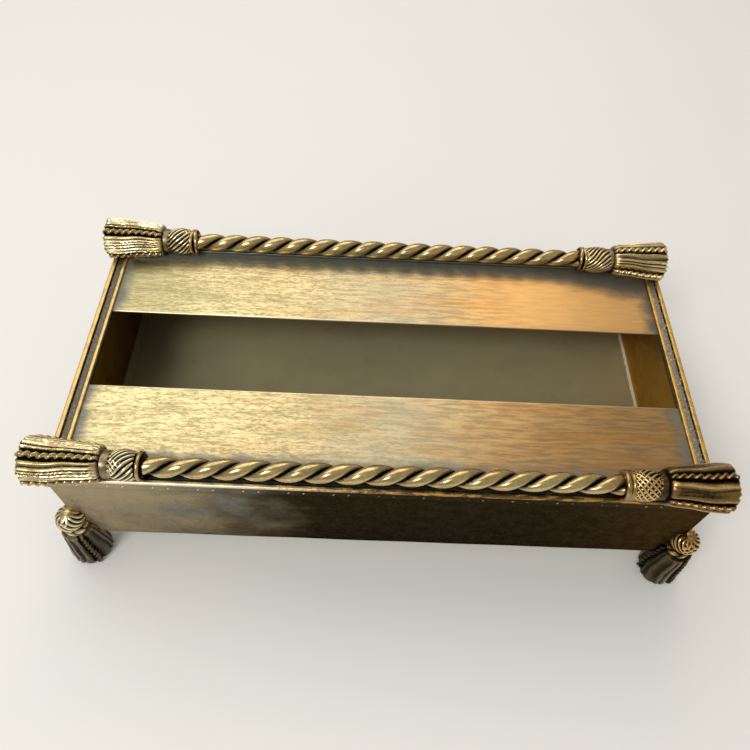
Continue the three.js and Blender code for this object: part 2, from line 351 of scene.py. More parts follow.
SLATE_VERDIGRIS = (0.20, 0.22, 0.20)
WARM_PALE = (0.96, 0.80, 0.48)
HOLLOW_GREY = (0.165, 0.150, 0.108)
TAN = (0.26, 0.150, 0.052)
BRIGHT_TAN = (0.86, 0.55, 0.19)
FOOT_DARK = (0.012, 0.009, 0.005)
FOOT_BRASS = (0.18, 0.135, 0.055)
FOOT_GLINT = (0.75, 0.58, 0.22)
GREY_OLIVE = (0.50, 0.455, 0.27)
PALE_OLIVE = (0.56, 0.51, 0.30)
STAIN = (0.36, 0.31, 0.17)
SHADED = (0.20, 0.20, 0.12)
PAINTED_LIGHT_LINE = (0.98, 0.97, 0.93)
LIP_BROWN = (0.13, 0.10, 0.055)
EDGE_TINT = (0.25, 0.20, 0.14, 1.0)


def brushed_top():
    """Brass brushed along X, browner to the right, and tarnished grey beside the ropes and at the ends."""
    s = Shader("brushed_top")
    long_streak = s.noise(1.4, 4, 0.65, (9, 1.0, 1), 3)
    short_streak = s.noise(0.60, 4, 0.7, (4.5, 1, 1), 11)
    cloud = s.noise(34, 3, 0.55, (1.4, 0.5, 1), 5)
    right = s.range(s.plus(s.x, s.times(cloud, 0.12)), -0.060, 0.160)
    fine = s.range(right, 0.2, 1.0, 0.6, 0.12)
    long_part = s.times(long_streak, s.math("SUBTRACT", 1.0, fine))
    streak = s.plus(long_part, s.times(short_streak, fine))
    low = s.mix(right, DARK_GOLD, BROWN)
    high = s.mix(right, CREAM, COPPER)
    contrast = s.range(right, 0.2, 1.0, 1.15, 0.50)
    level = s.times(s.math("SUBTRACT", s.range(streak, 0.40, 0.59), 0.5), contrast)
    tone = s.mix(s.plus(level, 0.5), low, high)
    haze = s.range(s.size_of(s.x), 0.060, 0.0, 0.0, 0.5)
    tone = s.mix(haze, tone, HAZE)
    olive = s.range(s.noise(16, 3, 0.6, (2.5, 0.6, 1), 19), 0.46, 0.70)
    tone = s.mix(s.times(olive, s.range(right, 0.3, 0.9, 0.5, 0.1)), tone, OLIVE)
    rust = s.range(s.noise(15, 3, 0.6, (3, 0.5, 1), 61), 0.50, 0.66)
    tone = s.mix(s.times(rust, s.times(right, 0.45)), tone, RUST)
    pits = s.range(s.noise(0.5, 2, 0.6, (2.6, 1, 1), 83), 0.60, 0.70)
    tone = s.mix(s.times(pits, s.range(right, 0.0, 1.0, 0.75, 0.35)), tone, PIT)
    # Painted highlight along the folded slot edge, stronger towards the left.
    edge = s.range(s.size_of(s.y), (SLOT_Y + 0.9) * MM, (SLOT_Y + 0.4) * MM)
    tone = s.mix(s.times(edge, s.range(right, 0.0, 1.0, 0.8, 0.3)), tone, PAINTED_FOLD_HIGHLIGHT)
    behind = s.range(s.y, 0.0, 0.03)
    # Orange at the back right: partly the brass's own colour, partly a painted reflection of a warm lamp.
    orange = s.times(behind, s.range(s.x, 0.02, 0.08))
    tone = s.mix(s.times(orange, 0.6), tone, ORANGE)
    dull = s.times(behind, s.range(s.plus(s.x, s.times(cloud, 0.03)), -0.06, -0.12))
    tone = s.mix(s.times(dull, 0.6), tone, DULL_OLIVE)
    edge_noise = s.times(s.noise(7, 4, 0.6, (2, 1, 1), 9), 0.012)
    spread = s.times(behind, s.range(s.x, 0.06, 0.137, 0.0, 0.011))
    by_rope = s.range(s.plus(s.plus(s.size_of(s.y), spread), edge_noise), 0.0560, 0.0655)
    by_end = s.range(s.plus(s.size_of(s.x), edge_noise), 0.1310, 0.1390)
    tarnish = s.math("MAXIMUM", by_rope, by_end)
    slate = s.mix(s.noise(3, 4, 0.65, seed=45), SLATE, PALE_SLATE)
    far_corner = s.times(behind, s.range(s.x, 0.04, 0.12, 0.0, 0.75))
    slate = s.mix(far_corner, slate, BLACK_SLATE)
    tone = s.mix(s.times(tarnish, 0.92), tone, slate)
    rough = s.range(streak, 0.3, 0.7, 0.42, 0.34)
    return s.finish(tone, rough, streak, 0.03, metallic=s.range(tarnish, 0.3, 1.0, 1.0, 0.35))


def lacquer(s):
    """The dark antique lacquer outside the box, lighter taupe towards the left partly from wear and partly
    as painted light.
    """
    cloud = s.noise(30, 3, 0.55, (1, 1, 0.7), 2)
    # Taupe at the left to umber at the right: partly lacquer wear, partly painted light falling off across
    # the wall.
    fade = s.range(s.plus(s.x, s.times(cloud, 0.09)), -0.080, 0.018)
    tone = s.mix(fade, TAUPE, UMBER)
    blue = s.range(s.noise(22, 2, 0.5, seed=31), 0.30, 0.58)
    high_up = s.range(s.z, 0.020, 0.060, 0.25, 0.80)
    high_up = s.times(high_up, s.range(s.y, 0.03, -0.03, 0.45, 1.0))
    worn_edge = s.times(s.range(fade, 1.0, 0.5), s.range(fade, 0.0, 0.35))
    tone = s.mix(s.times(blue, s.times(worn_edge, high_up)), tone, BLUE_GREY)
    tone = s.mix(s.times(s.range(s.x, 0.06, 0.14), 0.6), tone, TOFFEE)
    spots = s.range(s.noise(1.0, 2, 0.6, (1.6, 1.6, 1), 7), 0.54, 0.64)
    tone = s.mix(s.times(spots, s.range(fade, 0.0, 1.0, 0.45, 0.04)), tone, GOLD)
    pits = s.range(s.noise(1.3, 3, 0.6, seed=17), 0.60, 0.75)
    return s.mix(s.times(pits, 0.35), tone, SOOT_AND_SHADE), spots


def satin_wall():
    """Brass sheet under a dark antique lacquer outside, lighter to the left from wear and painted light, and
    duller inside.
    """
    s = Shader("satin_wall")
    tone, spots = lacquer(s)
    hidden_x = s.range(s.size_of(s.x), (WALL_X - 0.6 * SHEET) * MM, (WALL_X - 0.4 * SHEET) * MM)
    hidden_y = s.range(s.size_of(s.y), (WALL_Y - 0.6 * SHEET) * MM, (WALL_Y - 0.4 * SHEET) * MM)
    outside = s.math("MAXIMUM", hidden_x, hidden_y)
    lining = s.mix(s.noise(20, 4, 0.6, seed=13), AMBER, DARK_AMBER)
    # Painted light: the inside of the right end wall is a lighter amber, as if lit from the left.
    lining = s.mix(s.range(s.x, 0.1365, 0.1375), lining, PAINTED_LIGHT_AMBER)
    tone = s.mix(outside, lining, tone)
    rough = s.range(s.noise(6, 4, 0.6, seed=19), 0.3, 0.7, 0.36, 0.50)
    grain = s.plus(s.noise(0.8, 3, 0.6, seed=29), s.times(spots, 0.5))
    s.surface.inputs["Specular Tint"].default_value = EDGE_TINT
    return s.finish(tone, rough, grain, 0.02)


def rim_brass():
    """Moulded strip with ridges showing wear, grey flats, painted shade in its grooves, and verdigris with
    painted shadow where the ropes lie over it.
    """
    s = Shader("rim")
    crest = s.crest()
    jitter = s.math("SUBTRACT", s.noise(1.4, 3, 0.6, seed=4), 0.5)
    wear_and_light = s.plus(crest, s.times(jitter, 0.5))
    chatter = s.noise(0.8, 3, 0.7, (1.2, 1.2, 1), 33)
    band = s.mix(s.range(s.x, 0.10, 0.135), GREY, PALE_GREY)
    band = s.mix(s.range(chatter, 0.42, 0.30), band, CHARCOAL)
    # Painted shade: the grooves between ridge, band and bead go to near black.
    tone = s.mix(s.range(wear_and_light, 0.05, 0.45), SOOT_AND_SHADE, band)
    across = s.size_of(s.y)
    long_side = s.range(s.size_of(s.x), 0.1335, 0.1325)
    ragged = s.range(s.noise(1.6, 3, 0.65, (4, 1, 1), 71), 0.44, 0.58)
    unworn = s.times(s.times(long_side, s.range(s.x, -0.06, 0.0)), 0.85)
    ridge = s.mix(s.range(s.noise(3, 3, 0.6, seed=25), 0.34, 0.56), COPPER, YELLOW_BRASS)
    brown_base = s.mix(unworn, tone, DARK_BROWN)
    tone = s.mix(s.range(wear_and_light, 0.30, 0.60), tone, brown_base)
    ridge = s.mix(unworn, ridge, BROWN_BRASS)
    kept = s.math("SUBTRACT", 1.0, s.times(unworn, s.math("SUBTRACT", 1.0, ragged)))
    tone = s.mix(s.times(s.range(wear_and_light, 0.50, 0.80), kept), tone, ridge)
    left = s.range(s.plus(s.x, s.times(jitter, 0.15)), 0.02, -0.09)
    # Towards the left the ridges turn cream: partly wear, partly painted highlight of the front light.
    pale_wear_and_highlight = s.times(s.range(left, 0, 1, 0.0, 1.0), s.range(long_side, 0, 1, 0.2, 1.0))
    tone = s.mix(s.times(s.range(wear_and_light, 0.65, 0.95), pale_wear_and_highlight), tone, PALE)
    flecks = s.times(s.range(chatter, 0.56, 0.66), s.range(long_side, 0, 1, 1.0, 0.3))
    tone = s.mix(s.times(flecks, s.range(s.x, 0.08, 0.135, 0.25, 0.85)), tone, FLECK)
    patch = s.noise(5, 4, 0.65, seed=15)
    verdigris = s.mix(s.range(patch, 0.48, 0.72), DARK_VERDIGRIS_AND_SHADOW, VERDIGRIS)
    verdigris = s.mix(s.range(s.y, 0.0, 0.03), verdigris, SLATE_VERDIGRIS)
    inboard = s.range(across, (HALF_W - 1.3) * MM, (HALF_W - 1.8) * MM)
    # Under the ropes: real verdigris, darkened further as painted shadow of the rope.
    under_rope = s.times(long_side, s.times(inboard, s.range(across, 0.0600, 0.0615)))
    tone = s.mix(s.times(under_rope, 0.92), tone, verdigris)
    apron = s.range(s.z, (TOP - 0.9) * MM, (TOP - 1.6) * MM)
    outer_x = s.range(s.size_of(s.x), (HALF_L - 0.4) * MM, (HALF_L - 0.2) * MM)
    outer_y = s.range(across, (HALF_W - 0.4) * MM, (HALF_W - 0.2) * MM)
    flat = s.range(across, (HALF_W + 0.12) * MM, (HALF_W + 0.04) * MM)
    apron = s.times(s.times(apron, flat), s.math("MAXIMUM", outer_x, outer_y))
    tone = s.mix(apron, tone, lacquer(s)[0])
    s.surface.inputs["Specular Tint"].default_value = EDGE_TINT
    rough = s.range(crest, 0.0, 1.0, 0.6, 0.42)
    return s.finish(tone, rough, s.noise(0.6, 3, 0.6, seed=8), 0.04)


def cast_brass(name, low, high, bright, left_wear_and_highlight, gold, seed):
    """Cast brass, painted shade where crest is below low, gold above high, and cream above bright, partly
    wear and partly painted highlight.
    The feet and the front right are darker, and left_wear_and_highlight is how much more the left's ridges
    are lifted towards that cream."""
    s = Shader(name)
    crest = s.crest()
    jitter = s.math("SUBTRACT", s.noise(1.1, 3, 0.6, seed=seed + 9), 0.5)
    # The left and front ridges are lifted further: partly wear, partly painted highlight of the front-left
    # light.
    left = s.times(s.range(s.x, 0.0, -0.11, 0.0, left_wear_and_highlight), s.range(s.y, 0.03, -0.03, 0.3, 1.0))
    # Painted light: the back right tassel's ridges are lifted to make up for light it does not get.
    back_right_light_lift = s.times(s.range(s.x, 0.112, 0.116), s.range(s.y, -0.02, 0.02, 0.0, 0.12))
    rub_and_highlight = s.math("MAXIMUM", left, back_right_light_lift)
    wear_and_light = s.plus(s.plus(crest, s.times(jitter, 0.3)), rub_and_highlight)
    drift = s.noise(9, 3, 0.55, seed=seed)
    gilt = s.mix(s.range(drift, 0.35, 0.68), OLD_GOLD, gold)
    gilt = s.mix(s.times(s.range(s.noise(14, 2, 0.5, seed=seed + 5), 0.5, 0.7), 0.6), gilt, COPPER)
    # Above bright the ridges turn cream: partly wear, partly painted highlight.
    pale_wear_and_highlight = s.mix(s.range(s.x, -0.09, 0.05), PALE, WARM_PALE)
    gilt = s.mix(s.range(wear_and_light, bright, bright + 0.25), gilt, pale_wear_and_highlight)
    # Painted shade: the hollows between threads, strands and turns go to near black.
    grey = s.mix(s.range(wear_and_light, 0.18, low), SOOT_AND_SHADE, HOLLOW_GREY)
    tone = s.mix(s.range(wear_and_light, low, high), grey, gilt)
    right = s.times(s.range(s.x, 0.08, 0.115), s.range(s.y, 0.03, -0.03, 0.0, 0.90))
    tan = s.mix(s.range(wear_and_light, bright, bright + 0.2), TAN, BRIGHT_TAN)
    tone = s.mix(right, tone, s.mix(s.range(wear_and_light, low, high), SOOT_AND_SHADE, tan))
    at_feet = s.range(s.z, 0.0278, 0.0255)
    dark_brass = s.mix(s.range(wear_and_light, 0.55, 1.0), FOOT_DARK, FOOT_BRASS)
    dark_brass = s.mix(s.range(wear_and_light, 0.98, 1.12), dark_brass, FOOT_GLINT)
    tone = s.mix(s.times(at_feet, 0.94), tone, dark_brass)
    rough = s.math("SUBTRACT", s.range(wear_and_light, 0.2, 1.0, 0.46, 0.20), s.times(at_feet, 0.07))
    return s.finish(tone, rough, s.noise(0.5, 3, 0.6, seed=seed + 13), 0.012)


def aged_inside():
    """Plain sheet under a dull grey-olive lacquer, with a painted line of light on the bend that the end
    wall meets.
    """
    s = Shader("aged_inside")
    cloud = s.noise(30, 4, 0.6, (1.6, 1, 1), 6)
    tone = s.mix(s.range(cloud, 0.3, 0.7), GREY_OLIVE, PALE_OLIVE)
    stain = s.range(s.noise(12, 4, 0.65, seed=27), 0.56, 0.75)
    tone = s.mix(s.times(stain, 0.3), tone, STAIN)
    # Painted shadow: the plate darkens towards the left end wall.
    tone = s.mix(s.range(s.x, -0.07, -0.138, 0.0, 0.8), tone, SHADED)
    # Painted light: a bright white line on the plate's bend along the foot of the right end wall.
    ragged = s.times(s.noise(2.5, 4, 0.6, seed=53), 0.0016)
    rub_and_highlight = s.range(s.plus(s.x, ragged), (WALL_X - SHEET - 0.9) * MM, (WALL_X - SHEET - 0.2) * MM)
    on_bend = s.range(s.z, (plate_high[2] - 0.9) * MM, (plate_high[2] - 0.5) * MM)
    rub_and_highlight = s.times(rub_and_highlight, on_bend)
    tone = s.mix(rub_and_highlight, tone, PAINTED_LIGHT_LINE)
    lip = s.range(s.x, (plate_high[0] - 0.5) * MM, (plate_high[0] - 0.2) * MM)
    tone = s.mix(s.times(lip, 0.9), tone, LIP_BROWN)
    rough = s.range(s.noise(8, 3, 0.6, seed=37), 0.3, 0.7, 0.42, 0.55)
    grain = s.noise(0.5, 3, 0.6, (6, 1, 1), 21)
    return s.finish(tone, rough, grain, 0.012, metallic=s.range(rub_and_highlight, 0, 1, 0.3, 0.0))


BRUSHED = brushed_top()
WALL = satin_wall()
RIM = rim_brass()
ROPE = cast_brass("rope", 0.30, 0.72, 0.96, 0.0, (0.63, 0.48, 0.21), 2)
TASSEL = cast_brass("tassel", 0.38, 0.72, 0.75, 0.03, GOLD, 41)
INSIDE = aged_inside()


# ---- Box: sheet walls, top strips and the bottom plate ----
def along_x(place, a, b):
    return place, a, b


def along_y(place, a, b):
    return a, place, b


def panel(name, across, up, run, to_space, material, seed, dent=0.07, edge=0.35):
    """A flat sheet with rounded edges and very slight hand-made unevenness. across is its thin way."""
    profile = [
        (across[0], up[0], edge),
        (across[1], up[0], edge),
        (across[1], up[1], edge),
        (across[0], up[1], edge),
    ]
    vertices, faces = swept(outline(profile, 3, 4.0), stations(run[0], run[1], 5.0, edge), to_space)
    thin = 0 if to_space is along_y else 1
    long_way = 1 - thin
    vertices = vertices.copy()
    vertices[:, thin] += dent * ripple(vertices[:, long_way], vertices[:, 2], seed, 70)
    return make_piece(name + "_sheet", (vertices, faces), material, stands_for=(name,))


for index, (side, sign) in enumerate(SIDES.items()):
    faces_at = sorted((sign * INNER_Y, sign * WALL_Y))
    panel(f"{side}_wall", faces_at, (WALL_FOOT, WALL_TOP), (-WALL_X, WALL_X), along_x, WALL, 10 + index)
left_x, left_y, left_z = zip(*corners("left_end_wall"))
panel("left_end_wall", left_x, left_z, left_y, along_y, WALL, 15)


def right_end_wall():
    """The end wall over the bottom plate, with a short leg each side of the plate's lip."""
    low, high = corners("right_end_wall")
    door_y = plate_high[1] + SIDE_GAP
    door_top = plate_high[2] + RUN_GAP
    round_door = [
        (-high[1], low[2]),
        (-door_y, low[2]),
        (-door_y, door_top),
        (door_y, door_top),
        (door_y, low[2]),
        (high[1], low[2]),
        (high[1], high[2]),
        (-high[1], high[2]),
    ]
    points = outline([(y, z, 0.4) for y, z in round_door], 3, 4.0)
    return swept(points, stations(low[0], high[0], 0.6, 0.3), along_x)


make_piece("right_end_wall_sheet", right_end_wall(), WALL, stands_for=("right_end_wall",))


def top_strip(side, sign):
    """A strip of the top. Its slot edge is folded under, and it has faint waves."""
    name = f"{side}_strip"
    fold = 0.55
    profile = [
        (SLOT_Y, STRIP_BOTTOM, fold),
        (STRIP_Y, STRIP_BOTTOM, 0.2),
        (STRIP_Y, STRIP_TOP, 0.2),
        (SLOT_Y, STRIP_TOP, fold),
    ]
    points = outline(profile, 5, 2.0)
    points[:, 0] *= sign
    vertices, faces = swept(points, stations(-STRIP_X, STRIP_X, 4.0, 0.2), along_x)
    vertices = vertices.copy()
    sag = 0.06 * ripple(vertices[:, 0], vertices[:, 1], 21 + sign, 60)
    off_end = smooth(0, 6, STRIP_X - np.abs(vertices[:, 0]))
    off_rim = smooth(0, 6, STRIP_Y - np.abs(vertices[:, 1]))
    vertices[:, 2] += sag * off_end * off_rim
    return make_piece(name + "_sheet", (vertices, faces), BRUSHED, stands_for=(name,))


for side, sign in SIDES.items():
    top_strip(side, sign)


def rails():
    """The folded channels that the bottom plate slides in, each from its (y, z, corner radius) outline."""
    low, high = corners("back_rail")
    shelf, wall_side = low[1], high[1]
    web = plate_high[1] + SIDE_GAP
    web_back = web + RAIL_SHEET
    cap = web - RAIL_CAP
    shelf_top = low[2] + RAIL_SHEET
    cap_bottom = high[2] - RAIL_SHEET
    profile = [
        (shelf, low[2], 0.3),
        (wall_side, low[2], 0.3),
        (wall_side, shelf_top, 0.3),
        (web_back, shelf_top, 0.3),
        (web_back, high[2], 0.8),
        (cap, high[2], 0.3),
        (cap, cap_bottom, 0.3),
        (web, cap_bottom, 0.15),
        (web, shelf_top, 0.15),
        (shelf, shelf_top, 0.3),
    ]
    for side, sign in SIDES.items():
        points = outline([(sign * y, z, r) for y, z, r in profile], 4)
        name = f"{side}_rail"
        skin = swept(points, stations(low[0], high[0], 12.0, 0.15), along_x)
        make_piece(name + "_folded", skin, INSIDE, stands_for=(name,))


rails()


def bottom_plate():
    """The sliding bottom, with its right-hand end turned down as a lip to pull it by."""
    underside = plate_high[2] - SHEET
    lip_inside = plate_high[0] - SHEET
    profile = [
        (plate_low[0], underside, 0.3),
        (lip_inside, underside, 0.2),
        (lip_inside, plate_low[2], 0.5),
        (plate_high[0], plate_low[2], 0.5),
        (plate_high[0], plate_high[2], 0.9),
        (plate_low[0], plate_high[2], 0.3),
    ]
    points = outline(profile, 5, 6.0)
    vertices, faces = swept(points, stations(plate_low[1], plate_high[1], 6.0, 0.3), along_y)
    vertices = vertices.copy()
    vertices[:, 2] += 0.04 * ripple(vertices[:, 0], vertices[:, 1], 77, 80)
    name = "bottom_plate"
    return make_piece(name + "_folded", (vertices, faces), INSIDE, body=name, stands_for=(name,))


bottom_plate()
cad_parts["plate_stop"].data.materials.clear()
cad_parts["plate_stop"].data.materials.append(INSIDE)
stop_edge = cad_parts["plate_stop"].modifiers.new("edge", "BEVEL")
stop_edge.width = 0.2 * MM
stop_edge.segments = 2


# ---- Rim: a beaded moulding, mitred at the corners ----
RIM_WIDTH = HALF_W - STRIP_Y
RIM_DEPTH = TOP - WALL_TOP
RIM_APRON = HALF_W - WALL_Y
# Corners of the section: how far in, how far up from the rim's top, corner radius and crest.
MOULDING = [
    (RIM_APRON, -RIM_DEPTH, 0.1, 0.3),
    (RIM_APRON, APRON_FOOT - TOP, 0.25, 0.5),
    (0, APRON_FOOT - TOP, 0.3, 0.8),
    (0, 0, 0.6, 1.05),
    (2.0, 0, 0.35, 1.05),
    (2.15, -0.9, 0.15, 0.1),
    (2.6, -0.9, 0.15, 0.1),
    (2.85, -0.5, 0.2, 0.5),
    (5.15, -0.5, 0.2, 0.45),
    (5.3, -0.75, 0.1, 0.1),
    (5.5, 0, 0.4, 1.0),
    (RIM_WIDTH, 0, 0.35, 1.0),
]


def moulding(name, half_along, half_across, turn, ledge):
    """One side of the rim, made along the front and turned to its own side."""
    under_strip, ledge_in = STRIP_BOTTOM - TOP, HALF_W - LEDGE_Y
    if ledge:
        back = [(RIM_WIDTH, under_strip), (ledge_in, under_strip), (ledge_in, -RIM_DEPTH)]
    else:
        back = [(RIM_WIDTH, -RIM_DEPTH)]
    profile = MOULDING + [(u, z, 0.1, 0.2) for u, z in back]
    points = outline([(u, z, r) for u, z, r, _ in profile], 3, 1.4)
    shade = section_crest(points, profile)
    steps = int(2 * half_along / 1.6)
    places = np.concatenate([[-1, -1 + 0.0012], np.linspace(-1 + 0.004, 1 - 0.004, steps), [1 - 0.0012, 1]])
    depths = np.concatenate([[0.12, 0.04], np.zeros(steps), [0.04, 0.12]])
    rows = []
    for place, depth in zip(places, depths):
        section = inset(points, depth) if depth > 0 else points
        x = place * (half_along - section[:, 0])
        rows.append(np.stack([x, section[:, 0] - half_across, section[:, 1] + TOP], 1))
    rows = np.array(rows)
    ridge = (shade > 0.9)[None, :] * smooth(0, 4, half_along - np.abs(rows[:, :, 0]))
    rows[:, :, 2] += 0.07 * ridge * ripple(rows[:, :, 0], rows[:, :, 1], 51 + int(turn * 10), 7)
    vertices, faces = wrapped(rows, flat_ends=True)
    spin = np.array(Matrix.Rotation(turn, 3, "Z"))
    skin = (vertices @ spin.T, faces)
    return make_piece(name + "_moulding", skin, RIM, stands_for=(name,), crest=np.tile(shade, len(rows)))


def section_crest(points, profile):
    """Each outline point's crest, from the nearest corner of the profile."""
    spots = np.array([(u, z) for u, z, _, _ in profile])
    level = np.array([c for *_, c in profile])
    distance = np.linalg.norm(points[:, None, :] - spots[None, :, :], axis=2)
    weight = 1 / (distance + 0.05) ** 3
    return (weight * level).sum(1) / weight.sum(1)


moulding("front_rim", HALF_L, HALF_W, 0, True)
moulding("back_rim", HALF_L, HALF_W, math.pi, True)
moulding("left_rim", HALF_W, HALF_L, -math.pi / 2, False)
moulding("right_rim", HALF_W, HALF_L, math.pi / 2, False)


def apron_marks(name, side):
    """A row of small raised dashes in pairs, stamped along a long side's apron."""
    period, pair, drop = 18.6, 6.2, 3.6
    half_long, half_wide = 0.75, 0.32
    lean_cos, lean_sin = 0.75, 0.66
    vertices, faces = [], []
    places = [start + shift for start in np.arange(-HALF_L + 7.5, HALF_L - 6, period) for shift in (0, pair)]
    ring = np.linspace(0, 2 * math.pi, 10, endpoint=False)
    for x in places:
        base = len(vertices)
        for size, rise in ((1.0, -0.1), (0.85, 0.16), (0.45, 0.26)):
            for angle in ring:
                a, b = half_long * size * math.cos(angle), half_wide * size * math.sin(angle)
                along, up = lean_cos * a - lean_sin * b, lean_sin * a + lean_cos * b
                vertices.append((x + along, side * (HALF_W + rise), TOP - drop + up))
        vertices.append((x, side * (HALF_W + 0.29), TOP - drop))
        vertices.append((x, side * (HALF_W - 0.12), TOP - drop))
        count = len(ring)
        steps = [(i, (i + 1) % count) for i in range(count)]
        for row in (base, base + count):
            faces += [(row + i, row + j, row + count + j, row + count + i) for i, j in steps]
        crown, tip = base + 2 * count, base + 3 * count
        faces += [(crown + i, crown + j, tip) for i, j in steps]
        faces += [(base + j, base + i, tip + 1) for i, j in steps]
    return make_piece(name, (np.array(vertices), faces), RIM, crest=np.ones(len(vertices)))


for side, sign in SIDES.items():
    apron_marks(f"{side}_apron_marks", sign)


# ---- Ropes ----
STRAND_R = 2.2
STRAND_ORBIT = 2.2
STRAND_HALF_WIDTH = 2.68


def rope_strand(node, sign, phase, pitch):
    """One strand of a left-handed two-strand rope, with painted shade where it lies against the other."""
    along = np.linspace(-ROPE_END, ROPE_END, 420)
    turn = phase - 2 * math.pi * along / pitch
    centre = np.stack([along, STRAND_ORBIT * np.cos(turn), STRAND_ORBIT * np.sin(turn)], 1)
    lean = 2 * math.pi * STRAND_ORBIT / pitch
    tangent = np.stack([np.ones_like(turn), lean * np.sin(turn), -lean * np.cos(turn)], 1)
    tangent /= np.linalg.norm(tangent, axis=1)[:, None]
    outward = np.stack([np.zeros_like(turn), np.cos(turn), np.sin(turn)], 1)
    across = np.cross(tangent, outward)
    angle = np.linspace(0, 2 * math.pi, 28, endpoint=False)
    squash = np.where(np.cos(angle) > 0, 0.95, 0.6)
    out = STRAND_R * np.sign(np.cos(angle)) * np.abs(np.cos(angle)) ** squash
    wide = STRAND_HALF_WIDTH * np.sign(np.sin(angle)) * np.abs(np.sin(angle)) ** squash
    uneven = 1 + 0.02 * ripple(along, np.zeros_like(along), 91 + sign, 9)[:, None, None]
    rows = centre[:, None, :] + uneven * (
        out[None, :, None] * outward[:, None, :] + wide[None, :, None] * across[:, None, :]
    )
    rows = rows + np.array([0, sign * ROPE_Y, AXIS_Z])
    # Painted shade: the strand's inner side, against the other strand, gets a low crest.
    shade = smooth(-0.45, 0.55, np.cos(angle))[None, :] * np.ones((len(along), 1))
    return make_piece(node + "_cast", wrapped(rows), ROPE, stands_for=(node,), crest=shade.ravel())


# How far each rope runs in one turn, and its first strand's angle at the middle.
LAY = {"front": (25.0, -0.12), "back": (23.4, -1.27)}
for side, sign in SIDES.items():
    pitch, start = LAY[side]
    rope_strand(f"{side}_rope_strand_a", sign, start, pitch)
    rope_strand(f"{side}_rope_strand_b", sign, start + math.pi, pitch)


# ---- Castings at the rope's ends, and the feet ----
NECK_CREST = 0.47


def about_rope(side, end, tilt=0.0):
    """Places (distance along, radius, angle) about a rope's axis. Angle 0 is up, and a quarter turn is out.
    tilt is how much the tassel rises for each millimetre beyond its collar."""

    def place(along, radius, angle):
        x = end * along
        y = side * (ROPE_Y + radius * np.sin(angle))
        return np.stack([x, y, AXIS_Z + radius * np.cos(angle) + tilt * (along - COLLAR_X0)], -1)

    return place


def about_foot(side, end):
    """Places (height, radius, angle) about a foot's axis. Angle 0 points away from the box."""

    def place(height, radius, angle):
        x = end * (FOOT_X + radius * np.cos(angle + math.pi / 4))
        y = side * (FOOT_Y + radius * np.sin(angle + math.pi / 4))
        return np.stack([x, y, height], -1)

    return place


def pushed_out(points, half_x, half_y, depth_z, level):
    """Moves what is inside a box out to its nearest side, or to its level where that is nearer."""
    seated = points.copy()
    x, y = points[..., 0], points[..., 1]
    depth = np.stack([half_x - np.abs(x), half_y - np.abs(y), depth_z], -1)
    inside = depth.min(-1) > 0
    nearest = depth.argmin(-1)
    for axis, face in enumerate((np.sign(x) * half_x, np.sign(y) * half_y, level)):
        seated[..., axis] = np.where(inside & (nearest == axis), face, points[..., axis])
    return seated


def seat_on_rim(points):
    """Moves what is inside the box's top out to its nearest face, as the casting's notch does."""
    inboard = (np.abs(points[..., 0]) < STRIP_X) & (np.abs(points[..., 1]) < STRIP_Y)
    level = np.where(inboard, STRIP_TOP, TOP) + SEAT_GAP
    return pushed_out(points, HALF_L + SEAT_GAP, HALF_W + SEAT_GAP, level - points[..., 2], level)


def seat_on_corner(points):
    """The same for a foot against the walls' corner and lower edge, and clear of the bottom plate."""
    depth_z = points[..., 2] - WALL_FOOT + SEAT_GAP
    seated = pushed_out(points, WALL_X + SEAT_GAP, WALL_Y + SEAT_GAP, depth_z, WALL_FOOT - SEAT_GAP)
    return clear_of_plate(seated)


def clear_of_plate(points):
    """Moves what is in the bottom plate's way out past the plate's long edge."""
    cleared = points.copy()
    x, y, z = (points[..., i] for i in range(3))
    inside = (x > 0) & (z > plate_low[2] - PATH_GAP) & (z < plate_high[2] + PATH_GAP)
    edge = plate_high[1] + PATH_GAP
    cleared[..., 1] = np.where(inside & (np.abs(y) < edge), np.sign(y) * edge, y)
    return cleared


def casting(node, rows, material, crest, seat=seat_on_rim):
    """The piece for a cast node, from rows of points round its axis, seated on the box."""
    return make_piece(node + "_cast", wrapped(seat(rows)), material, stands_for=(node,), crest=crest.ravel())


def rope_ridge(across, along, pitch, orbit, thick, hand):
    """The height of a small two-ply cord that lies on a surface, and far below it beside the cord."""
    height = np.full(np.broadcast(across, along).shape, -9.0)
    for ply in (0, math.pi):
        turn = hand * 2 * math.pi * along / pitch + ply
        off = (across - orbit * np.cos(turn)) / thick
        rise = orbit * np.sin(turn) + thick * np.sqrt(np.clip(1 - off * off, 0, None))
        height = np.maximum(height, np.where(np.abs(off) < 1, rise, -9.0))
    return height


def threads(phase, sharp=0.55):
    """The section of threads laid side by side: 0 in the groove and 1 on the ridge, one thread to a unit."""
    return np.abs(np.sin(math.pi * phase)) ** sharp


def thread_offset(phase, seed, amount):
    """A height for each thread of a row, the same all over one thread."""
    number = np.floor(phase)
    return amount * np.sin(number * 12.9898 + seed * 4.137)


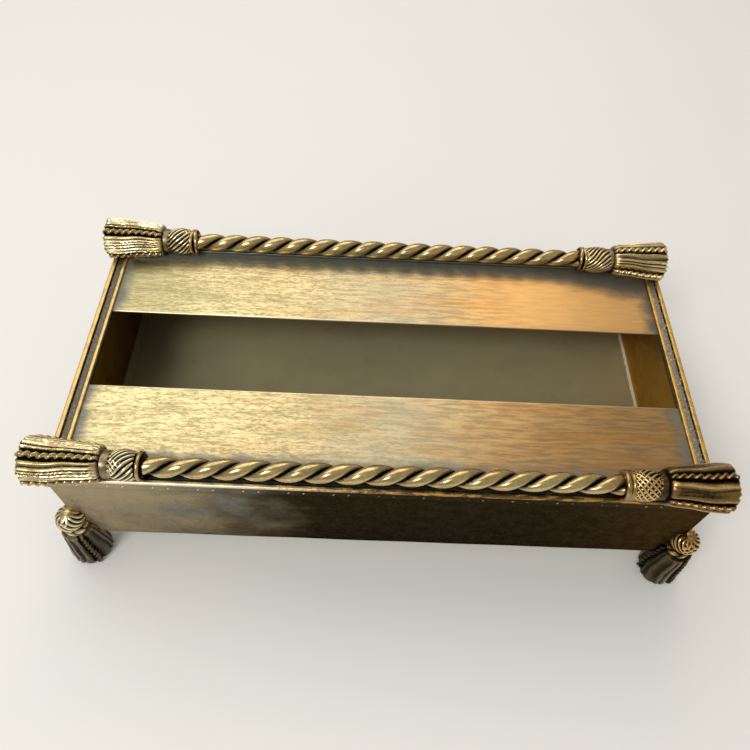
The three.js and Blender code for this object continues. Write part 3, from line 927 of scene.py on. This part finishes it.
def fringe(reach, theta, length, radius, first_cord, hand, seed, size=1.0, cords=4, strands=5):
    """A tassel's fringe: cords between bundles of thick threads, with a few fine threads beside each cord.
    reach is the distance from its tied end. Returns the radius and the crest."""
    sector = 2 * math.pi / cords
    wander = 0.04 * np.sin(reach / (6.1 * size) + seed) + 0.015 * np.sin(reach / (2.3 * size) + 2 * seed)
    from_cord = (theta - first_cord + wander + sector / 2) % sector - sector / 2
    flare = 0.80 + 0.20 * smooth(0, length * 0.95, reach)
    body = radius * (flare + 0.012 * wave_round(theta, reach, seed, 5, 14 * size))
    shoulder = np.sqrt(np.clip(1 - (1 - np.clip(reach / (3.8 * size), 0, 1)) ** 2, 0, 1))
    cord_half = 1.55 * size / radius
    fine_half = cord_half + 0.85 * size / radius
    gap = np.abs(from_cord)
    lane = np.where(from_cord < 0, from_cord + sector, from_cord)
    lane = np.clip((lane - fine_half) / (sector - 2 * fine_half), 0, 0.9999)
    drift = 0.16 * np.sin(reach / (9 * size) + 3 * lane + seed) + 0.34 * np.sin(8.5 * lane + 2.3 * seed)
    slot = np.clip(lane * strands + drift * np.sin(math.pi * lane), 0, strands - 0.001)
    groove = 0.70 + thread_offset(slot + 0.5, seed + 5, 0.30)
    thick = 1 - (1 - threads(slot, 0.85)) * groove
    split = threads(slot * 2 + 0.25 * np.sin(reach / (4 * size) + seed + 2 * np.floor(slot)), 0.7)
    halved = thread_offset(slot, seed + 2, 1.0) > 0.35
    thick = np.where(halved, thick * (0.72 + 0.28 * split), thick)
    crown = np.sqrt(np.clip(1 - (2 * lane - 1) ** 2, 0, 1))
    tied = 0.3 + 0.7 * smooth(0.0, 4.5 * size, reach)
    tall = thread_offset(slot, seed, 0.12)
    bundle = -0.8 * (1 - crown) - 1.3 * (1 - thick) * tied + tall * threads(slot, 0.6)
    fine = -0.95 - 0.40 * (1 - threads(gap * radius / (0.6 * size), 1.0))
    cord = rope_ridge(from_cord * radius, reach, 6.4 * size, 0.72 * size, 0.98 * size, hand) / size - 1.30
    relief = np.where(gap < fine_half, fine, bundle)
    relief = np.where(gap < cord_half * 1.15, np.maximum(cord, -1.5), relief)
    height = body + size * relief
    tight = 0.58 * radius
    made = tight + (height - tight) * shoulder
    rub_and_highlight = thread_offset(slot, seed + 8, 0.16) * (gap > fine_half)
    crest = np.clip(0.97 + rub_and_highlight + 0.78 * relief + 0.25 * (1 - crown) * (gap > fine_half), 0, 1.1)
    crest = np.where(gap < cord_half * 1.15, np.clip(0.80 + 0.75 * (cord + 0.27), 0, 0.76), crest)
    # The crest drops near the tied end, as painted shade where the threads are gathered in.
    return made, crest * (0.3 + 0.7 * smooth(0, 1.3 * size, reach))


def tassel_skirt(corner, side, end, form, seed):
    """The fringe at a rope's end, closed over its tied end and its cut end."""
    start, stop = SKIRT_X0 + form["from"], SKIRT_X1 + form["to"]
    length = stop - start
    theta = np.linspace(0, 2 * math.pi, 280, endpoint=False)[None, :]
    run = np.linspace(0, length, 100)[:, None]
    radius, crest = fringe(run, theta, length, SKIRT_R, math.radians(form["cord"]), -side * end, seed,
                           strands=form["strands"])
    cut = length - run
    radius = radius * (1 - 0.10 * (1 - smooth(0, 1.1, cut)))
    frayed = 0.45 * wave_round(theta, np.zeros_like(run), seed + 3, 30, 9)
    place = about_rope(side, end, form["tilt"])
    rows = place(start + run + frayed * smooth(4, 0, cut), radius, theta + np.zeros_like(run))
    tail = []
    tail_crest = []
    last, last_crest = radius[-1:], crest[-1:]
    for shrink, bulge in ((0.92, 0.25), (0.78, 0.38), (0.55, 0.45), (0.28, 0.48)):
        stubs = 0.12 * wave_round(theta, np.zeros_like(theta), seed + int(shrink * 50), 40, 9)
        tail.append(place(stop - 0.5 + bulge + stubs + 0 * theta, last * shrink, theta)[0])
        tail_crest.append((last_crest * 0.7)[0])
    rows = np.concatenate([rows, np.array(tail)])
    crest = np.concatenate([crest, np.array(tail_crest)])
    return casting(f"{corner}_tassel_skirt", rows, TASSEL, crest)


def winding(theta, along, count, pitch, hand, seed, crossed=0.3):
    """Threads wound on a ball at a slant, with a second layer that crosses them in places.
    crossed is how much of the ball the second layer covers."""
    turns = theta / (2 * math.pi)
    wander = 0.14 * np.sin(along / 1.7 + seed) + 0.1 * np.sin(3 * theta + seed)
    under = threads(count * turns + hand * along / pitch + wander, 0.95)
    over = threads(count * turns - hand * along / pitch - wander, 0.95)
    where = smooth(0.9 - 1.6 * crossed, 1.3 - 1.6 * crossed, wave_round(theta, along, seed + 7, 2, 30))
    low, high = 0.85 * under, where * (0.30 + 0.72 * over)
    crest = np.where(low > high, under, over)
    return np.maximum(low, high), np.clip(crest, 0, 1) ** 1.5


def tassel_knot(corner, side, end, form, seed):
    """The wound ball next to the collar, and the plain swelling between it and the fringe."""
    start = SKIRT_X0 + form["from"]
    neck_x0 = start - form["neck"]
    theta = np.linspace(0, 2 * math.pi, 200, endpoint=False)[None, :]
    run = np.linspace(KNOT_X0, start + 1.4, 76)[:, None]
    middle = (KNOT_X0 + neck_x0) / 2
    half = (neck_x0 - KNOT_X0) / 2
    across = np.clip((run - middle) / half, -1.3, 1.3)
    ball = (KNOT_R - 0.8) * np.sqrt(1 - 0.38 * across ** 2)
    lean = 0.9 * np.sin(theta + seed)
    on_ball = smooth(0.0, 0.5, neck_x0 - run + lean)
    relief, crest = winding(theta, run - middle, 15, 2.5, side * -end, seed, form["crossed"])
    neck = 5.85 - 0.055 * (run - start + 0.8) ** 2 + 0.06 * np.sin(3 * theta)
    radius = on_ball * (ball + relief) + (1 - on_ball) * neck
    shade = on_ball * crest + (1 - on_ball) * NECK_CREST
    rows = about_rope(side, end, form["tilt"])(run + 0 * theta, radius, theta + 0 * run)
    return casting(f"{corner}_tassel_knot", rows, TASSEL, shade)


def collar(corner, side, end, turns, seed):
    """Turns of cord whipped round the rope's end. Each turn leans its own way, so that two of them cross."""
    low, high = COLLAR_X0 - 0.2, COLLAR_X1 + 0.5
    theta = np.linspace(0, 2 * math.pi, 96, endpoint=False)[None, :]
    run = np.linspace(low, high, 34)[:, None]
    radius = np.full((34, 96), 4.7)
    crest = np.zeros((34, 96))
    for middle, thick, lean, lean_at in turns:
        centre = middle + lean * np.sin(theta - lean_at)
        off = (run - centre) / thick
        bulge = thick * np.sqrt(np.clip(1 - off * off, 0, None))
        ring = np.where(np.abs(off) < 1, COLLAR_R - thick + bulge, 0)
        crest = np.where(ring > radius, np.sqrt(np.clip(1 - off * off, 0, 1)), crest)
        radius = np.maximum(radius, ring)
    radius = radius * (1 + 0.012 * wave_round(theta, run, seed, 5, 8))
    rows = about_rope(side, end)(run + 0 * theta, radius, theta + 0 * run)
    return casting(f"{corner}_collar", rows, ROPE, crest)


def foot(corner, side, end, seed):
    """A small upright tassel: a wound ball, a tie of thick cord, and a fringe that stands on the table."""
    tie_z, tie_half = 28.3, 1.9
    fringe_top = 27.4
    ball_z, ball_r, ball_half = 35.9, 6.2, 5.7
    theta = np.linspace(0, 2 * math.pi, 200, endpoint=False)[None, :]
    heights = np.concatenate([
        ball_z + ball_half * np.sin(np.linspace(math.pi * 0.475, -math.pi * 0.33, 42)),
        np.linspace(tie_z + tie_half, tie_z - tie_half + 1.2, 10),
        fringe_top * np.linspace(1, 0, 78) ** 1.15,
    ])[:, None]
    relief, ball_crest = winding(theta, heights - ball_z, 12, 2.7, side * end, seed, 0.25)
    across = np.clip((heights - ball_z) / ball_half, -1, 1)
    polar = np.sqrt(np.clip(1 - across ** 2, 0, 1))
    near_top = smooth(0.35, 0.7, polar)
    ball = (ball_r - 0.6) * polar + relief * near_top
    ball_crest = 0.8 + (ball_crest - 0.8) * near_top
    off = (heights - tie_z) / tie_half
    turns = threads(theta * 7 / (2 * math.pi) + heights / 6, 0.6)
    tie = 3.9 + 1.7 * np.sqrt(np.clip(1 - off * off, 0, 1)) * (0.75 + 0.3 * turns)
    reach = np.clip(fringe_top - heights, 0, None)
    skirt, skirt_crest = fringe(reach, theta, fringe_top, FOOT_R, 0.4 + seed, side * end, seed, 0.95, 3, 4)
    skirt = skirt * (0.99 - 0.10 * (1 - smooth(0, 1.6, heights)))
    level = heights + 0 * theta
    on_ball = level > tie_z + tie_half
    on_skirt = level <= fringe_top
    radius = np.where(on_ball, np.maximum(ball, 3.6 * polar), np.where(on_skirt, skirt, tie))
    tie_crest = turns * np.sqrt(np.clip(1 - off * off, 0, 1))
    crest = np.where(on_ball, ball_crest, np.where(on_skirt, skirt_crest, tie_crest))
    rows = about_foot(side, end)(level, radius, theta + 0 * heights)
    return casting(f"{corner}_foot", rows, TASSEL, crest, seat_on_corner)


# Each turn of a collar: (its place along the rope, its half thickness, how far it leans, where it leans).
mid_collar = (COLLAR_X0 + COLLAR_X1) / 2
FLANGE = [(mid_collar, 0.8, 0.15, 0.0)]
CROSSED = [(mid_collar - 0.3, 0.9, 1.1, 0.3), (mid_collar + 0.3, 0.9, -1.1, 0.5)]
DOUBLE = [(COLLAR_X0 + 0.9, 1.3, 0.4, 1.0), (COLLAR_X1 - 0.2, 1.3, -0.4, 2.4)]
# Each tassel was finished by hand, and is a little unlike the others. strands is the threads in a bundle,
# from and to move its fringe's two ends, tilt is its rise, cord is its top cord's angle, neck is the plain
# swelling's length, and crossed is how crossed its knot is.
FORM_KEYS = ("strands", "from", "to", "tilt", "cord", "neck", "crossed")
FORM_ROWS = {
    "front_left": (5, -0.4, 1.9, 0.035, 11, 3.6, 0.35),
    "front_right": (2, 0.0, -1.3, 0.015, -6, 2.9, 0.9),
    "back_left": (6, 0.0, 0.0, 0.0, -23, 2.9, 0.1),
    "back_right": (4, 0.3, -1.8, 0.0, -1, 1.0, 0.2),
}
FORMS = {corner: dict(zip(FORM_KEYS, row)) for corner, row in FORM_ROWS.items()}
COLLARS = {"front_left": FLANGE, "front_right": DOUBLE, "back_left": CROSSED, "back_right": CROSSED}
corner_places = [(f"{side}_{end}", SIDES[side], ENDS[end]) for side in SIDES for end in ENDS]
for seed, (corner, side, end) in enumerate(corner_places, 1):
    collar(corner, side, end, COLLARS[corner], seed)
    tassel_knot(corner, side, end, FORMS[corner], seed)
    tassel_skirt(corner, side, end, FORMS[corner], seed)
    foot(corner, side, end, seed)


# ---- Floor, light and camera ----
def floor():
    size = 6.0
    mesh = bpy.data.meshes.new("floor")
    ground = [(-size, -size, 0), (size, -size, 0), (size, size, 0), (-size, size, 0)]
    mesh.from_pydata(ground, [], [(0, 1, 2, 3)])
    s = Shader("floor_paint")
    tone = s.mix(s.noise(90, 3, 0.5), (0.93, 0.94, 0.95), (0.95, 0.96, 0.97))
    mesh.materials.append(s.finish(tone, 0.75, s.noise(2.0), 0.02, metallic=0.0))
    made = bpy.data.objects.new("floor", mesh)
    bpy.context.scene.collection.objects.link(made)


def softbox(name, azimuth, elevation, distance, width, height, watts, colour):
    """A rectangular light aimed at the box. Azimuth 0 is behind the box, and 90 is to its right."""
    a, e = math.radians(azimuth), math.radians(elevation)
    away = Vector((math.sin(a) * math.cos(e), math.cos(a) * math.cos(e), math.sin(e)))
    data = bpy.data.lights.new(name, "AREA")
    data.shape = "RECTANGLE"
    data.size, data.size_y = width, height
    data.energy = watts
    data.color = colour
    lamp = bpy.data.objects.new(name, data)
    lamp.location = away * distance + Vector((0, 0, 0.05))
    lamp.rotation_mode = "QUATERNION"
    lamp.rotation_quaternion = away.to_track_quat("Z", "Y")
    bpy.context.scene.collection.objects.link(lamp)


def surroundings():
    """A dim warm room all round."""
    world = bpy.data.worlds.new("room")
    world.use_nodes = True
    room = world.node_tree.nodes["Background"].inputs
    room["Color"].default_value = (0.46, 0.44, 0.40, 1)
    room["Strength"].default_value = 1.0
    bpy.context.scene.world = world


def camera():
    """The photograph's viewpoint, given from the middle of the rim's top."""
    data = bpy.data.cameras.new("camera")
    data.lens = 32.357
    data.sensor_width = 36.0
    data.clip_start = 0.01
    made = bpy.data.objects.new("camera", data)
    tilt, roll, turn = 34.339, -2.2206, 1.3659
    made.location = Vector((-11.006, -185.02, 254.63 + TOP)) * MM
    made.rotation_euler = [math.radians(angle) for angle in (tilt, roll, turn)]
    bpy.context.scene.collection.objects.link(made)
    bpy.context.scene.camera = made


floor()
surroundings()
softbox("window_light", -30, 58, 1.2, 1.20, 0.90, 4.2, (1.0, 0.96, 0.88))
softbox("warm_light", 14, 46, 1.2, 0.45, 0.35, 0.9, (1.0, 0.78, 0.50))
softbox("key_light", 220, 50, 1.2, 0.36, 0.36, 4.6, (1.0, 0.97, 0.92))
camera()
bpy.context.scene.view_settings.view_transform = "Standard"
